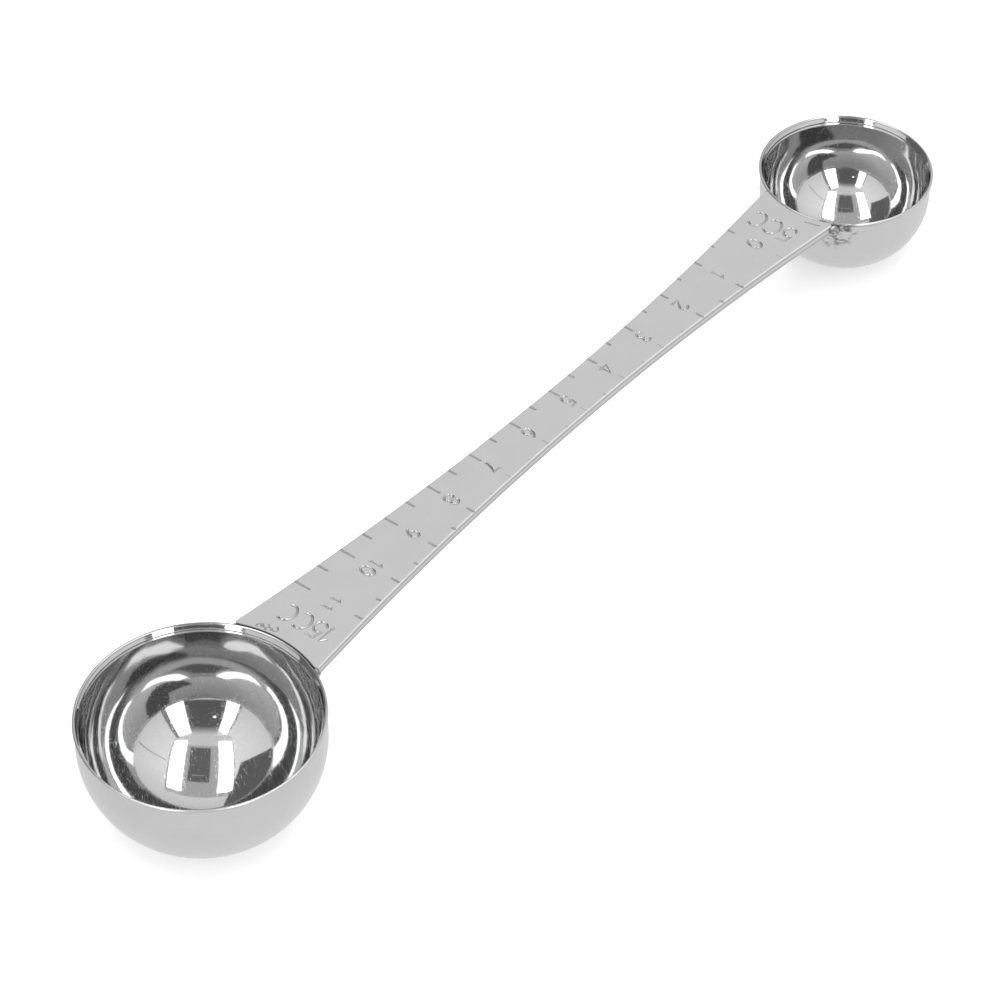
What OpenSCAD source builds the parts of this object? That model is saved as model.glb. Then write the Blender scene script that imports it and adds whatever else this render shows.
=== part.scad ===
// Double-ended coffee scoop in stainless steel.
// A flat handle, waisted like a bow tie and marked as a centimetre rule, joins a
// large drawn bowl at one end to a small one at the other. Each bowl has a
// flared lip, and the handle's hollow end is butted under that lip and held by
// two tack welds.
//
// Units are millimetres. The scoop stands on the round bottoms of its bowls, on
// the plane Z = 0, with the large bowl towards +X and the origin under the
// middle of its length. Pieces are drawn in the handle's own frame, where X = 0
// is the rule's zero mark and Z = 0 is the handle's top face, and at_rest() sets
// the finished scoop down.

/* [Handle] */
// Length of the handle on its centre line, from one rim to the other
handle_l = 132.1; // [115:0.1:150]
// Thickness of the handle's plate
handle_t = 1.75; // [1:0.05:2.5]
// Width at the waist, the narrowest place
waist_w = 7.9; // [6:0.1:11]
// Distance from the zero mark to the waist
waist_at = 45; // [35:0.5:60]
// Width where the handle meets the small bowl
small_end_w = 13.7; // [12:0.1:18]
// Width where the handle meets the large bowl
large_end_w = 16.4; // [13:0.1:22]

/* [Rule] */
// Distance from the small bowl's rim to the zero mark
zero_inset = 10.7; // [9:0.1:14]
// Distance between numbered marks
mark_pitch = 10; // [8:0.1:10.5]
// Highest numbered mark
last_mark = 11; // [6:1:11]
// Width of a stamped line
mark_w = 0.4; // [0.2:0.05:0.8]
// Depth of a stamped line
mark_depth = 0.1; // [0.05:0.01:0.3]
// Length of the numbered line at zero, on the far edge
first_long_mark = 1.6; // [1:0.1:2.4]
// Length of the highest numbered line, on the far edge
last_long_mark = 3.2; // [2:0.1:4]
// Length of the first half line, on the far edge
first_half_mark = 0.8; // [0.4:0.1:1.4]
// Length of the last half line, on the far edge
last_half_mark = 2.1; // [1:0.1:2.8]
// Length of a numbered line on the near edge
near_long_mark = 1.5; // [0.8:0.1:2]
// Length of a half line on the near edge
near_half_mark = 0.7; // [0.3:0.1:1]
// Distance that the near edge's lines stay clear of the edge
near_mark_inset = 0.15; // [0.05:0.05:0.4]

/* [Bowl sheet] */
// Thickness of the sheet that both bowls are drawn from
wall = 0.5; // [0.35:0.05:0.8]
// Height of the flared lip
lip_h = 0.9; // [0.7:0.1:1.6]
// How far the rim stands out past the neck under the lip
lip_flare = 0.5; // [0.2:0.05:0.9]

/* [Large bowl] */
// Outside diameter of the rim
large_rim_d = 39.1; // [33:0.1:45]
// How far the widest ring of the body stands inside the rim
large_body_inset = 0.15; // [0.1:0.05:0.45]
// Depth of that widest ring below the rim
large_widest_depth = 4.7; // [4:0.1:7]
// Distance from the bowl's axis to the centre of its side's curve
large_side_centre = 2.9; // [1:0.1:6]
// Height of the centre of its bottom's curve above the widest ring
large_bottom_centre = 4.7; // [1:0.1:9]
// Angle at which the bowl dips away from the handle, in degrees
large_dip = 4.2; // [2.5:0.1:6]

/* [Small bowl] */
// Outside diameter of the rim
small_rim_d = 29.1; // [25:0.1:34]
// How far the widest ring of the body stands inside the rim
small_body_inset = 0.35; // [0.1:0.05:0.45]
// Depth of that widest ring below the rim
small_widest_depth = 4; // [3.5:0.1:6]
// Distance from the bowl's axis to the centre of its side's curve
small_side_centre = 2.3; // [1:0.1:5]
// Height of the centre of its bottom's curve above the widest ring
small_bottom_centre = 5.1; // [1:0.1:8]
// Angle at which the bowl dips away from the handle, in degrees
small_dip = 1.1; // [0.5:0.1:3]

/* [Welds] */
// Diameter of a weld bead at a corner of the handle
bead_d = 2.4; // [1.8:0.1:3]
// How far a bead's top stays below the handle's top face
bead_drop = 0.15; // [0.05:0.05:0.4]

/* [Hidden] */

steel = [0.80, 0.80, 0.79];
bowl_steel = [0.74, 0.74, 0.74];
weld_steel = [0.5, 0.5, 0.5];

// Facets of a full turn and of a bead, and steps along half of a handle's edge
turn_fn = 120;
bead_fn = 32;
edge_steps = 20;
// Steps along a quarter of a bowl's curve, along its shoulder and round its lip
curve_steps = 12;
shoulder_steps = 5;
lip_steps = 6;

// Places along the handle, in its own frame
small_end_x = -zero_inset;
large_end_x = handle_l - zero_inset;
// Room that cutting shapes take past what they cut
overrun = handle_t;

large_rim_r = large_rim_d / 2;
small_rim_r = small_rim_d / 2;
bead_r = bead_d / 2;

// Radius of the arc that opens an edge by rise over run, level at the waist
function arc_r(run, rise) = (run * run + rise * rise) / (2 * rise);

small_edge_r = arc_r(waist_at - small_end_x, (small_end_w - waist_w) / 2);
large_edge_r = arc_r(large_end_x - waist_at, (large_end_w - waist_w) / 2);

// Half of the handle's width at x
function half_w(x) =
  let (r = x < waist_at ? small_edge_r : large_edge_r)
  waist_w / 2 + r - sqrt(r * r - pow(x - waist_at, 2));

// Outside radius of the side's curve, which starts upright at the widest ring
function side_r(body_r, side_c) = body_r - side_c;

// Outside radius of the bottom's curve, which carries the side's curve on
function bottom_r(body_r, side_c, bottom_c) =
  side_r(body_r, side_c) + norm([side_c, bottom_c]);

// One side of the sheet, from under the lip to the middle of the bottom. side_c
// and bottom_c place the centres of its curves, and skin is 0 for the outside and
// the sheet's thickness for the inside.
function sheet_side(rim_r, body_r, widest, side_c, bottom_c, skin) =
  let (
    neck_r = rim_r - lip_flare,
    side = side_r(body_r, side_c) - skin,
    bottom = bottom_r(body_r, side_c, bottom_c) - skin,
    turn = atan2(bottom_c, side_c)
  )
  concat(
    [for (i = [0:shoulder_steps - 1])
      let (way = i / shoulder_steps)
      [
        neck_r + (body_r - neck_r) * way * (2 - way) - skin,
        -lip_h - (widest - lip_h) * way,
      ]],
    [for (i = [0:curve_steps - 1])
      let (a = turn * i / curve_steps)
      [side_c + side * cos(a), -widest - side * sin(a)]],
    [for (i = [0:curve_steps])
      let (a = turn + (90 - turn) * i / curve_steps)
      [
        bottom * cos(a) * (i < curve_steps ? 1 : 0),
        bottom_c - widest - bottom * sin(a),
      ]]
  );

// The round edge of the lip, from the outside over the top to the inside
function lip_edge(rim_r) =
  [for (i = [0:lip_steps])
    let (a = 180 * i / lip_steps)
    [rim_r - wall / 2 + wall / 2 * cos(a), -wall / 2 + wall / 2 * sin(a)]];

function reversed(list) = [for (i = [len(list) - 1:-1:0]) list[i]];

// A drawn bowl in its own frame: the rim lies in Z = 0 and the axis is Z
module drawn_bowl(rim_r, body_r, widest, side_c, bottom_c) {
  outside = sheet_side(rim_r, body_r, widest, side_c, bottom_c, 0);
  inside = sheet_side(rim_r, body_r, widest, side_c, bottom_c, wall);
  rotate_extrude($fn = turn_fn)
    polygon(concat(reversed(outside), lip_edge(rim_r), inside));
}

// The room that a bowl takes, filled and open upwards, to cut what butts on it
module bowl_room(rim_r, body_r, widest, side_c, bottom_c) {
  outside = sheet_side(rim_r, body_r, widest, side_c, bottom_c, 0);
  rotate_extrude($fn = turn_fn)
    polygon(concat(
      reversed(outside),
      [[rim_r, -wall / 2], [rim_r, overrun], [0, overrun]]
    ));
}

// Bring a bowl from its own frame to its end of the handle, hinged down about
// the point of the rim that touches the handle's end
module at_large_end() {
  translate([large_end_x, 0, 0])
    rotate([0, large_dip, 0])
      translate([large_rim_r, 0, 0])
        children();
}

module at_small_end() {
  translate([small_end_x, 0, 0])
    rotate([0, -small_dip, 0])
      translate([-small_rim_r, 0, 0])
        children();
}

module large_bowl_room() {
  at_large_end()
    bowl_room(large_rim_r, large_body_r, large_widest_depth, large_side_centre, large_bottom_centre);
}

module small_bowl_room() {
  at_small_end()
    bowl_room(small_rim_r, small_body_r, small_widest_depth, small_side_centre, small_bottom_centre);
}

large_body_r = large_rim_r - large_body_inset;
small_body_r = small_rim_r - small_body_inset;
large_bottom_r = bottom_r(large_body_r, large_side_centre, large_bottom_centre);
small_bottom_r = bottom_r(small_body_r, small_side_centre, small_bottom_centre);

// Centre of each bowl's bottom curve in the handle's frame, as [x, z]
function hinged(end_x, way, rim_r, dip, z) = [
  end_x + way * (rim_r * cos(dip) + z * sin(dip)),
  z * cos(dip) - rim_r * sin(dip),
];

large_ball = hinged(
  large_end_x, 1, large_rim_r, large_dip, large_bottom_centre - large_widest_depth
);
small_ball = hinged(
  small_end_x, -1, small_rim_r, small_dip, small_bottom_centre - small_widest_depth
);

// The tilt at which one plane touches both round bottoms
ball_gap = large_ball - small_ball;
rest_tilt = asin((large_bottom_r - small_bottom_r) / norm(ball_gap)) - atan2(ball_gap[1], ball_gap[0]);

function tilted_x(p) = p[0] * cos(rest_tilt) - p[1] * sin(rest_tilt);
function tilted_z(p) = p[0] * sin(rest_tilt) + p[1] * cos(rest_tilt);

// The far points of both rims, which end the scoop's length
large_tip = hinged(large_end_x, 1, 2 * large_rim_r - wall / 2, large_dip, 0);
small_tip = hinged(small_end_x, -1, 2 * small_rim_r - wall / 2, small_dip, 0);
middle_x = (tilted_x(large_tip) + tilted_x(small_tip)) / 2;
floor_z = tilted_z(large_ball) - large_bottom_r;

// Set the scoop down on both bowls, with the middle of its length at X = 0
module at_rest() {
  translate([-middle_x, 0, -floor_z])
    rotate([0, -rest_tilt, 0])
      children();
}

// Outline of the plate. Both ends run on past the rims, which cut them hollow.
module handle_plate() {
  first_x = small_end_x - small_rim_r / 2;
  last_x = large_end_x + large_rim_r / 2;
  stations = [for (i = [0:2 * edge_steps])
    i < edge_steps
      ? first_x + (waist_at - first_x) * i / edge_steps
      : waist_at + (last_x - waist_at) * (i - edge_steps) / edge_steps];
  near = [for (x = stations) [x, half_w(x)]];
  far = [for (x = stations) [x, -half_w(x)]];
  translate([0, 0, -handle_t])
    linear_extrude(handle_t)
      polygon(concat(near, reversed(far)));
}

// One stamped line, across the handle at x, from y for a length towards +Y
module mark(x, y, length) {
  translate([x - mark_w / 2, y, -mark_depth])
    cube([mark_w, length, mark_depth + overrun]);
}

// The rule: lines on both edges at every number and half way between numbers
module rule_marks() {
  for (n = [0:last_mark]) {
    x = n * mark_pitch;
    long = first_long_mark + (last_long_mark - first_long_mark) * n / last_mark;
    mark(x, -half_w(x) - overrun, long + overrun);
    mark(x, half_w(x) - near_mark_inset - near_long_mark, near_long_mark);
  }
  for (n = [0:last_mark - 1]) {
    x = (n + 1 / 2) * mark_pitch;
    half = first_half_mark + (last_half_mark - first_half_mark) * n / last_mark;
    mark(x, -half_w(x) - overrun, half + overrun);
    mark(x, half_w(x) - near_mark_inset - near_half_mark, near_half_mark);
  }
}

// A weld bead at the corner where the handle's edge meets a bowl. It fills the
// corner beside and under the plate, and stays under the top face.
module corner_bead(side, end_x, way, rim_r) {
  corner_y = half_w(end_x);
  corner_x = end_x + way * (rim_r - sqrt(rim_r * rim_r - corner_y * corner_y));
  translate([corner_x, side * corner_y, -bead_drop - bead_r])
    sphere(r = bead_r, $fn = bead_fn);
}

module handle() {
  color(steel)
    at_rest()
      difference() {
        handle_plate();
        large_bowl_room();
        small_bowl_room();
        rule_marks();
      }
}

module large_bowl() {
  color(bowl_steel)
    at_rest()
      at_large_end()
        drawn_bowl(large_rim_r, large_body_r, large_widest_depth, large_side_centre, large_bottom_centre);
}

module small_bowl() {
  color(bowl_steel)
    at_rest()
      at_small_end()
        drawn_bowl(small_rim_r, small_body_r, small_widest_depth, small_side_centre, small_bottom_centre);
}

module large_bowl_weld(side) {
  color(weld_steel)
    at_rest()
      difference() {
        corner_bead(side, large_end_x, 1, large_rim_r);
        handle_plate();
        large_bowl_room();
      }
}

module small_bowl_weld(side) {
  color(weld_steel)
    at_rest()
      difference() {
        corner_bead(side, small_end_x, -1, small_rim_r);
        handle_plate();
        small_bowl_room();
      }
}

module large_bowl_near_weld() { large_bowl_weld(1); }
module large_bowl_far_weld() { large_bowl_weld(-1); }
module small_bowl_near_weld() { small_bowl_weld(1); }
module small_bowl_far_weld() { small_bowl_weld(-1); }

handle();
large_bowl();
small_bowl();
large_bowl_near_weld();
large_bowl_far_weld();
small_bowl_near_weld();
small_bowl_far_weld();
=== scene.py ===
# %% [markdown]
# # A double-ended coffee scoop
# The real scoop is three pieces of stainless steel: a flat handle that is also a
# centimetre rule, and two drawn bowls that are butted against its hollow ends and
# held by small welds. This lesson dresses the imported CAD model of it. Each step
# says what the piece is, how it could be made, and why it is made this way.

# %% Load the frame
import math

import bmesh
import bpy
from mathutils import Matrix, Vector, noise


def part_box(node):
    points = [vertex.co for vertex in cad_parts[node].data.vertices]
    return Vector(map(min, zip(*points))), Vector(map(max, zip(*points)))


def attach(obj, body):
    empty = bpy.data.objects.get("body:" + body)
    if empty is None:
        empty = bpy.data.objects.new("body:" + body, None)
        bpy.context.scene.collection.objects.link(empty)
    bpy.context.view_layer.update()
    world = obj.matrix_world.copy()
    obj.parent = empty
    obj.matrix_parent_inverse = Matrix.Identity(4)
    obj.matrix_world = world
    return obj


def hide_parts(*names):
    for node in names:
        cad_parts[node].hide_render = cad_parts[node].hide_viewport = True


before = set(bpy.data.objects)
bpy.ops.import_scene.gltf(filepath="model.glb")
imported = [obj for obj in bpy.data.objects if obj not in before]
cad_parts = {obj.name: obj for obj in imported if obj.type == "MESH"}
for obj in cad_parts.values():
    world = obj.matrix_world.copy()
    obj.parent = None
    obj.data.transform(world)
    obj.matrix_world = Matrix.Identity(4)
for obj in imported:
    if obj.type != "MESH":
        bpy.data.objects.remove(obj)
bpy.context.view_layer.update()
print("CAD nodes:", ", ".join(sorted(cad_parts)))

# %% [markdown]
# ## Sizes
# Blender works in metres, and a maker thinks in millimetres, so a length is
# written as a number of millimetres times `MM`. Pieces are drawn in the handle's
# own frame: X runs along the handle from the rule's zero mark, and Z = 0 is the
# top face.

# %% Sizes of the handle
MM = 0.001

handle_l = 132.1 * MM
handle_t = 1.75 * MM
waist_w = 7.9 * MM
waist_at = 45 * MM
small_end_w = 13.7 * MM
large_end_w = 16.4 * MM
zero_inset = 10.7 * MM

small_end_x = -zero_inset
large_end_x = handle_l - zero_inset
print("handle from", round(small_end_x / MM, 1), "to", round(large_end_x / MM, 1), "mm on the rule")

# %% Sizes of the bowls
wall = 0.5 * MM
lip_h = 0.9 * MM
lip_flare = 0.5 * MM
crease = 0.12 * MM


class BowlSize:
    """Sizes of one drawn bowl, and where it hangs on the handle."""

    def __init__(self, rim_d, inset, widest, side_centre, bottom_centre, dip, end_x, way):
        self.rim_r = rim_d / 2
        self.body_r = self.rim_r - inset
        self.widest = widest
        self.side_centre = side_centre
        self.bottom_centre = bottom_centre
        self.side_r = self.body_r - side_centre
        self.bottom_r = self.side_r + math.hypot(side_centre, bottom_centre)
        self.dip = math.radians(dip)
        self.end_x = end_x
        self.way = way

    def lip_inset(self, depth):
        """How far the outside stands inside the rim: a cone that meets the swell in a soft crease."""
        cone = lip_flare * max((depth - wall / 2) / (lip_h - wall / 2), 0)
        share = min((depth - lip_h) / (self.widest - lip_h), 1)
        swell = lip_flare - (self.body_r - self.rim_r + lip_flare) * share * (2 - share)
        blend = max(crease - abs(cone - swell), 0) / crease
        return min(cone, swell) - blend**3 * crease / 6

    def hang(self):
        """Moves the bowl from its own frame, rim in Z = 0, to its end of the handle."""
        hinge = Matrix.Translation((self.end_x, 0, 0))
        turn = Matrix.Rotation(self.way * self.dip, 4, "Y")
        return hinge @ turn @ Matrix.Translation((self.way * self.rim_r, 0, 0))

    def ball(self):
        """Centre of the bottom's curve, in the handle's frame."""
        return self.hang() @ Vector((0, 0, self.bottom_centre - self.widest))

    def weld_spot(self):
        """Where the near weld sits, in the bowl's own frame."""
        return self.hang().inverted() @ weld_centre(self, 1)

    def tip(self):
        """Top of the lip, where it is farthest from the handle."""
        return self.hang() @ Vector((self.way * (self.rim_r - wall / 2), 0, 0))


large = BowlSize(39.1 * MM, 0.15 * MM, 4.7 * MM, 2.9 * MM, 4.7 * MM, 4.2, large_end_x, 1)
small = BowlSize(29.1 * MM, 0.35 * MM, 4 * MM, 2.3 * MM, 5.1 * MM, 1.1, small_end_x, -1)
print("bottoms' radii", round(large.bottom_r / MM, 2), "and", round(small.bottom_r / MM, 2), "mm")

# %% Outline of the handle


def arc_radius(run, rise):
    """Radius of the arc that opens by rise over run, level at its start."""
    return (run * run + rise * rise) / (2 * rise)


small_edge_r = arc_radius(waist_at - small_end_x, (small_end_w - waist_w) / 2)
large_edge_r = arc_radius(large_end_x - waist_at, (large_end_w - waist_w) / 2)


def half_width(x):
    """Half of the handle's width at x."""
    radius = small_edge_r if x < waist_at else large_edge_r
    return waist_w / 2 + radius - math.sqrt(radius * radius - (x - waist_at) ** 2)


print("edge radii", round(small_edge_r / MM), "and", round(large_edge_r / MM), "mm")

# %% Corners that the welds fill
bead_d = 2.4 * MM
bead_drop = 0.15 * MM


def weld_centre(size, side):
    """Middle of the weld bead in the corner between the handle's edge and a bowl."""
    y = half_width(size.end_x)
    x = size.end_x + size.way * (size.rim_r - math.sqrt(size.rim_r**2 - y**2))
    return Vector((x, side * y, -bead_drop - bead_d / 2))


for size in (large, small):
    print("weld at", [round(part / MM, 1) for part in weld_centre(size, 1)], "mm")

# %% [markdown]
# ## Setting the scoop down
# The scoop stands on both round bottoms. Its tilt is the angle at which one plane
# touches both balls, so it is worked out from the sizes. The boxes of the CAD
# nodes then show that the sum is right.

# %% Rest on both bowls
ball_gap = large.ball() - small.ball()
slope = math.atan2(ball_gap.z, ball_gap.x)
rest_tilt = math.asin((large.bottom_r - small.bottom_r) / ball_gap.length) - slope
tilted = Matrix.Rotation(-rest_tilt, 4, "Y")
middle_x = ((tilted @ large.tip()).x + (tilted @ small.tip()).x) / 2
floor_z = (tilted @ large.ball()).z - large.bottom_r
at_rest = Matrix.Translation((-middle_x, 0, -floor_z)) @ tilted

for size, node in ((large, "large_bowl"), (small, "small_bowl")):
    low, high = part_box(node)
    box_end = high.x if size.way > 0 else low.x
    # The lip's round edge reaches half a wall beyond its top
    lip_end = (at_rest @ size.tip()).x + size.way * wall / 2
    print(node, "end off by", round(abs(lip_end - box_end) / MM, 3), "mm")

# %% [markdown]
# ## Wiring nodes from expressions
# Materials and Geometry Nodes are both node trees. A small class wraps an output,
# so that a formula in Python adds the Math nodes for it, and every other node
# comes from one method. The same helper then serves both kinds of tree.

# %% Wires


class Wire:
    """A node's output. Arithmetic on it adds Math nodes."""

    def __init__(self, board, socket):
        self.board = board
        self.socket = socket

    def __add__(self, other):
        return self.board.math("ADD", self, other)

    def __sub__(self, other):
        return self.board.math("SUBTRACT", self, other)

    def __rsub__(self, other):
        return self.board.math("SUBTRACT", other, self)

    def __mul__(self, other):
        return self.board.math("MULTIPLY", self, other)

    def __truediv__(self, other):
        return self.board.math("DIVIDE", self, other)

    def __pow__(self, other):
        return self.board.math("POWER", self, other)

    def __gt__(self, other):
        return self.board.math("GREATER_THAN", self, other)

    __radd__ = __add__
    __rmul__ = __mul__


# %% Boards


class Board:
    """A node tree under construction."""

    def __init__(self, tree):
        self.tree = tree

    def node(self, kind, settings=None, sockets=None, out=0):
        """Adds a node: its settings first, then its sockets, by name, identifier or number."""
        made = self.tree.nodes.new(kind)
        for name, value in (settings or {}).items():
            setattr(made, name, value)
        for name, value in (sockets or {}).items():
            socket = self.pick(made.inputs, name)
            for one in value if isinstance(value, list) else [value]:
                if isinstance(one, Wire):
                    self.tree.links.new(one.socket, socket)
                else:
                    socket.default_value = one
        return Wire(self, self.pick(made.outputs, out)) if len(made.outputs) else made

    def pick(self, sockets, name):
        """The socket with this number, identifier or name."""
        if isinstance(name, int):
            return sockets[name]
        for socket in sockets:
            if name == socket.identifier:
                return socket
        return next(s for s in sockets if s.name == name and s.enabled)

    def math(self, operation, *values, clamp=False):
        """A Math node."""
        settings = {"operation": operation, "use_clamp": clamp}
        return self.node("ShaderNodeMath", settings, dict(enumerate(values)))

    def vector(self, operation, a, b, out=0):
        """A Vector Math node."""
        return self.node("ShaderNodeVectorMath", {"operation": operation}, {0: a, 1: b}, out)

    def portion(self, value, start, stop):
        """How far value has come from start to stop, held between 0 and 1."""
        ends = {"From Min": start, "From Max": stop}
        return self.node("ShaderNodeMapRange", {"clamp": True}, {"Value": value, **ends})

    def mix(self, factor, a, b):
        """A blend of two numbers."""
        sockets = {"Factor_Float": factor, "A_Float": a, "B_Float": b}
        return self.node("ShaderNodeMix", {}, sockets, "Result_Float")


# %% [markdown]
# ## A tree with named inputs
# A Geometry Nodes tree is a small machine with dials. `machine` makes an empty one
# with its dials, and `run_machine` turns them, lets it work and keeps the mesh.
# The dials are set by identifier before the object is first evaluated.

# %% Machines of geometry nodes
SOCKET_KINDS = {
    "length": "NodeSocketFloat",
    "count": "NodeSocketInt",
    "object": "NodeSocketObject",
    "material": "NodeSocketMaterial",
}


def machine(name, dials):
    """An empty Geometry Nodes tree with named inputs, listed by kind, and a wire from each."""
    tree = bpy.data.node_groups.new(name, "GeometryNodeTree")
    tree.interface.new_socket("Geometry", in_out="INPUT", socket_type="NodeSocketGeometry")
    for kind, names in dials.items():
        for dial in names:
            tree.interface.new_socket(dial, in_out="INPUT", socket_type=SOCKET_KINDS[kind])
    tree.interface.new_socket("Geometry", in_out="OUTPUT", socket_type="NodeSocketGeometry")
    board = Board(tree)
    entry = tree.nodes.new("NodeGroupInput")
    wires = {socket.name: Wire(board, socket) for socket in entry.outputs if socket.name}
    return board, wires


def add_object(name, data):
    """A new object at the origin, in the scene."""
    made = bpy.data.objects.new(name, data)
    bpy.context.collection.objects.link(made)
    return made


def run_machine(tree, name, settings, start=None):
    """Runs a tree on a mesh and returns the result as a plain object at the origin."""
    work = add_object(name + "_work", start or bpy.data.meshes.new(name + "_work"))
    modifier = work.modifiers.new("machine", "NODES")
    modifier.node_group = tree
    for item in tree.interface.items_tree:
        if item.in_out == "INPUT" and item.name in settings:
            modifier[item.identifier] = settings[item.name]
    view = work.evaluated_get(bpy.context.evaluated_depsgraph_get())
    mesh = bpy.data.meshes.new_from_object(view)
    bpy.data.objects.remove(work)
    print(name, "has", len(mesh.polygons), "faces")
    return add_object(name, mesh)


def realize(board, geometry):
    """Makes a machine's instances real, because the export drops them."""
    return board.node("GeometryNodeRealizeInstances", {}, {"Geometry": geometry})


def paint(board, geometry, material, where=True):
    """Sets a material on the faces that where picks."""
    sockets = {"Geometry": geometry, "Selection": where, "Material": material}
    return board.node("GeometryNodeSetMaterial", {}, sockets)


# %% [markdown]
# ## Satin and polished steel
# Stainless steel has hardly any colour: it is a grey mirror. What tells one part
# from another is how it was finished. The handle was brushed along its length,
# the bowls' outside was turned on a lathe, which leaves fine rings, and their
# inside was polished until it shows the room. Each finish is a fine stretched
# noise that moves roughness and bump.

# %% A metal material


def blank_material(name):
    """A material with an empty node tree, and the board to build it on."""
    material = bpy.data.materials.new(name)
    material.use_nodes = True
    material.node_tree.nodes.clear()
    return material, Board(material.node_tree)


def grey(level):
    """A neutral colour."""
    return (level, level, level, 1)


def grey_of(board, level):
    """A neutral colour from a wire."""
    return board.node("ShaderNodeCombineColor", {}, {"Red": level, "Green": level, "Blue": level})


def finish_metal(board, level, roughness, normal=None):
    """Adds the metallic shader, in a grey of this level, and the output."""
    sockets = {"Metallic": 1.0, "Base Color": grey_of(board, level), "Roughness": roughness}
    if normal:
        sockets["Normal"] = normal
    shader = board.node("ShaderNodeBsdfPrincipled", {}, sockets)
    board.node("ShaderNodeOutputMaterial", {}, {"Surface": shader})


# %% Patterns in the steel


def in_frame(board, place):
    """Coordinates in the frame of a piece that was moved by place."""
    coordinates = board.node("ShaderNodeTexCoord", {}, {}, "Object")
    sockets = {"Vector": coordinates, "Location": place.translation, "Rotation": place.to_euler()}
    return board.node("ShaderNodeMapping", {"vector_type": "TEXTURE"}, sockets)


def along(board, vector, axis):
    """One part of a vector, as a dot product with an axis."""
    return board.vector("DOT_PRODUCT", vector, axis, "Value")


def streaks(board, vector, stretch, detail=4.0, roughness=0.6):
    """Noise that is stretched along one axis. stretch gives its scale on each axis."""
    scaled = board.vector("MULTIPLY", vector, stretch)
    sockets = {"Vector": scaled, "Scale": 1.0, "Detail": detail, "Roughness": roughness}
    return board.node("ShaderNodeTexNoise", {}, sockets, "Fac")


def clouds(board, vector, scale, detail=3.0, roughness=0.5):
    """Noise of one scale in all directions."""
    return streaks(board, vector, (scale, scale, scale), detail, roughness)


def relief(board, strength, distance, height, under=None):
    """A Bump node, on top of another one where that is given."""
    sockets = {"Strength": strength, "Distance": distance, "Height": height}
    if under:
        sockets["Normal"] = under
    return board.node("ShaderNodeBump", {}, sockets)


# %% Brushed handle
handle_grey = 0.645
# The dark line at a seam fades out between these distances from the rim
seam_near = 0.06 * MM
seam_far = 0.16 * MM
seam_dark = 0.65


def brushed_steel():
    """The handle: satin, brushed along its length, a little uneven. Its cut sides are darker, and its
    corners have a painted highlight.
    """
    material, board = blank_material("brushed_handle_steel")
    place = in_frame(board, at_rest)
    brush = streaks(board, place, (120, 6000, 6000))
    cloud = clouds(board, place, 160)
    facing = board.node("ShaderNodeNewGeometry", {}, {}, "Normal")
    flat = board.math("ABSOLUTE", along(board, facing, (0, 0, 1)))
    side = board.portion(flat, 0.35, 0.15)
    # A thin line along the middle of the cut sides stays bright
    off_middle = board.math("ABSOLUTE", along(board, place, (0, 0, 1)) + handle_t / 2)
    off_line = board.portion(off_middle, 0.16 * MM, 0.32 * MM)
    level = handle_grey + (cloud - 0.5) * 0.05 + (brush - 0.5) * 0.04
    level = level * (1 - side * (0.06 + off_line * 0.22))
    # Tumbling burnishes the corners, so they are smoother, and their grey is painted lighter, a painted
    # highlight
    corner = board.portion(flat, 0.3, 0.45) * board.portion(flat, 0.985, 0.95)
    level = level * (1 + corner * 0.3)
    in_plan = board.vector("MULTIPLY", place, (1, 1, 0))
    for size in (large, small):
        middle = size.hang().translation * Vector((1, 1, 0))
        gap = board.vector("DISTANCE", in_plan, middle, "Value")
        seam = board.portion(gap, size.rim_r + seam_far, size.rim_r + seam_near)
        level = level * (1 - seam * seam_dark)
    roughness = 0.34 + (brush - 0.5) * 0.12 + (cloud - 0.5) * 0.08 - corner * 0.15
    finish_metal(board, level, roughness, relief(board, 0.12, 0.02 * MM, brush))
    return material


def stamped_steel(name, dark, rough):
    """The floor of a groove: darker than the plate, painted shade in the recess."""
    material, board = blank_material(name)
    cloud = clouds(board, in_frame(board, at_rest), 700)
    finish_metal(board, dark + cloud * 0.2, rough + cloud * 0.1)
    return material


handle_finish = brushed_steel()
# Both groove materials carry painted shade
line_finish = stamped_steel("stamped_line_steel", 0.28, 0.45)
sign_finish = stamped_steel("stamped_sign_steel", 0.36, 0.22)
print("handle:", handle_finish.name, line_finish.name, sign_finish.name)

# %% Turned outside of a bowl
# Two level directions, turned from the handle. The tent is built along them too.
tent_turn = math.radians(36.1)
forward = Vector((math.cos(tent_turn), math.sin(tent_turn), 0))
rightward = Vector((-math.sin(tent_turn), math.cos(tent_turn), 0))

outside_grey = 0.59
heat_reach = 5 * MM


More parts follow.
